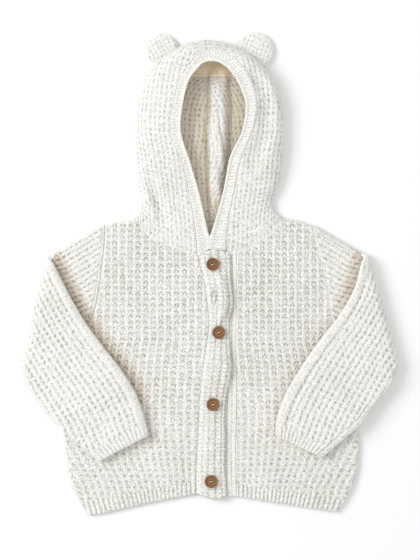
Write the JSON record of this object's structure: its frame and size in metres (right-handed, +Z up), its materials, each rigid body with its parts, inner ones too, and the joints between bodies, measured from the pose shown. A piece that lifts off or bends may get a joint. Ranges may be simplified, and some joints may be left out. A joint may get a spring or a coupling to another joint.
{
  "type": "child's hooded knit cardigan",
  "caption": "Baby's hooded cardigan in chunky ivory rib knit, laid flat and buttoned, sleeves folded over the front, round ears on the hood.",
  "frame": {"origin": "on the surface the garment lies on, under the middle of its bounding box", "axes": "+Y runs from the hem up to the hood, +X to the viewer's right, which is the wearer's left, +Z up off the surface, out of the front of the garment"},
  "size_m": [0.4138, 0.5312, 0.0299],
  "materials": {
    "ivory_knit": "chunky cotton waffle knit, matt",
    "ivory_rib": "cotton rib knit, matt",
    "brown_wood": "turned wood, satin"
  },
  "bodies": {
    "root": {"back_panel": "ivory_knit", "front_right": "ivory_knit", "front_left": "ivory_knit", "band_right": "ivory_rib", "band_left": "ivory_rib", "sleeve_right": "ivory_knit", "sleeve_left": "ivory_knit", "hood_right": "ivory_knit", "hood_left": "ivory_knit", "hood_band": "ivory_rib", "ear_right": "ivory_knit", "ear_left": "ivory_knit", "button_1": "brown_wood", "button_2": "brown_wood", "button_3": "brown_wood", "button_4": "brown_wood"}
  },
  "joints": []
}
